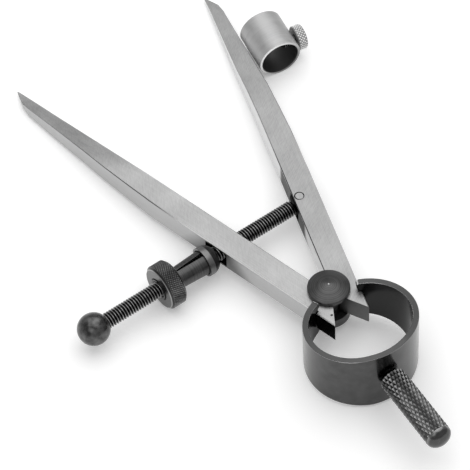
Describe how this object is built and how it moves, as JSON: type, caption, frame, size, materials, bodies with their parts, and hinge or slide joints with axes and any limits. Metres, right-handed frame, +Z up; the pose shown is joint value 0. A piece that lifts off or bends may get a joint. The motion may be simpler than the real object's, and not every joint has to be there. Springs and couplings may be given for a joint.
{
  "type": "wing divider",
  "caption": "Steel spring bow divider with ground legs, knurled grip, adjusting screw with split nut and wheel, and a loose pencil sleeve.",
  "frame": {"origin": "on the ground under the middle of the whole part's box, the divider lying on its points and its spring", "axes": "+Y from the hub to the points along the bisector of the legs, +X towards the right leg and the sleeve, +Z up"},
  "size_m": [0.1398, 0.216, 0.0268],
  "materials": {
    "ground_steel": "ground and brushed along the legs, bright broken edges",
    "black_oxide": "black oxide on steel, satin, with turning marks on the stud",
    "blackened_screw": "blackened steel, oiled, threads, knurls and a polished ball",
    "satin_steel": "satin plated steel tube",
    "plated_steel": "bright plated, diamond knurled"
  },
  "bodies": {
    "right_leg": {"right_leg": "ground_steel", "screw_swivel_pin": "ground_steel"},
    "hub": {"fulcrum_stud": "black_oxide", "bow_spring": "black_oxide", "finger_grip": "blackened_screw", "grip_rivet": "black_oxide"},
    "left_leg": {"left_leg": "ground_steel"},
    "screw": {"adjusting_screw": "blackened_screw", "screw_ball": "blackened_screw"},
    "cone_washer": {"cone_washer": "blackened_screw"},
    "nut": {"split_nut_front": "blackened_screw", "split_nut_rear": "blackened_screw", "nut_wheel": "blackened_screw"},
    "sleeve": {"pencil_sleeve": "satin_steel"},
    "clamp_shank": {"clamp_screw": "blackened_screw"},
    "clamp_head": {"clamp_screw_head": "plated_steel"}
  },
  "joints": [
    {"name": "hub_pivot", "type": "hinge", "parent": "right_leg", "child": "hub", "pos_m": [0.01053, -0.036, 0.01105], "axis": [0, 0.0693, 0.9976], "range_deg": [-15.6, 15], "deforming": ["bow_spring"]},
    {"name": "left_leg_pivot", "type": "hinge", "parent": "hub", "child": "left_leg", "pos_m": [0.01053, -0.036, 0.01105], "axis": [0, 0.0693, 0.9976], "range_deg": [-15.6, 15], "deforming": ["bow_spring"]},
    {"name": "screw_swivel", "type": "hinge", "parent": "right_leg", "child": "screw", "pos_m": [0.02547, 0.00446, 0.00824], "axis": [0, 0.0693, 0.9976], "range_deg": [-15.6, 15]},
    {"name": "washer_travel", "type": "slide", "parent": "screw", "child": "cone_washer", "axis": [-0.9979, -0.0644, 0.0045], "range_m": [-0.0224, 0.0215]},
    {"name": "nut_spin", "type": "hinge", "parent": "cone_washer", "child": "nut", "pos_m": [-0.0297, 0.0009, 0.00849], "axis": [-0.9979, -0.0644, 0.0045], "range_deg": [-7590, 7300]},
    {"name": "sleeve_lift", "type": "slide", "parent": "right_leg", "child": "sleeve", "axis": [0, 0, 1], "range_m": [0, 0.04]},
    {"name": "clamp_travel", "type": "slide", "parent": "sleeve", "child": "clamp_shank", "axis": [0.9923, -0.1236, 0], "range_m": [0, 0.0035]},
    {"name": "clamp_spin", "type": "hinge", "parent": "clamp_shank", "child": "clamp_head", "pos_m": [0.06601, 0.06811, 0.0083], "axis": [0.9923, -0.1236, 0], "range_deg": [0, 1810]}
  ],
  "couplings": [
    {"joint": "left_leg_pivot", "follows": "hub_pivot", "ratio": 1},
    {"joint": "screw_swivel", "follows": "hub_pivot", "ratio": 1},
    {"joint": "washer_travel", "follows": "hub_pivot", "m_per_rad": 0.082},
    {"joint": "nut_spin", "follows": "hub_pivot", "ratio": 486.06},
    {"joint": "clamp_spin", "follows": "clamp_travel", "rad_per_m": 8976}
  ]
}
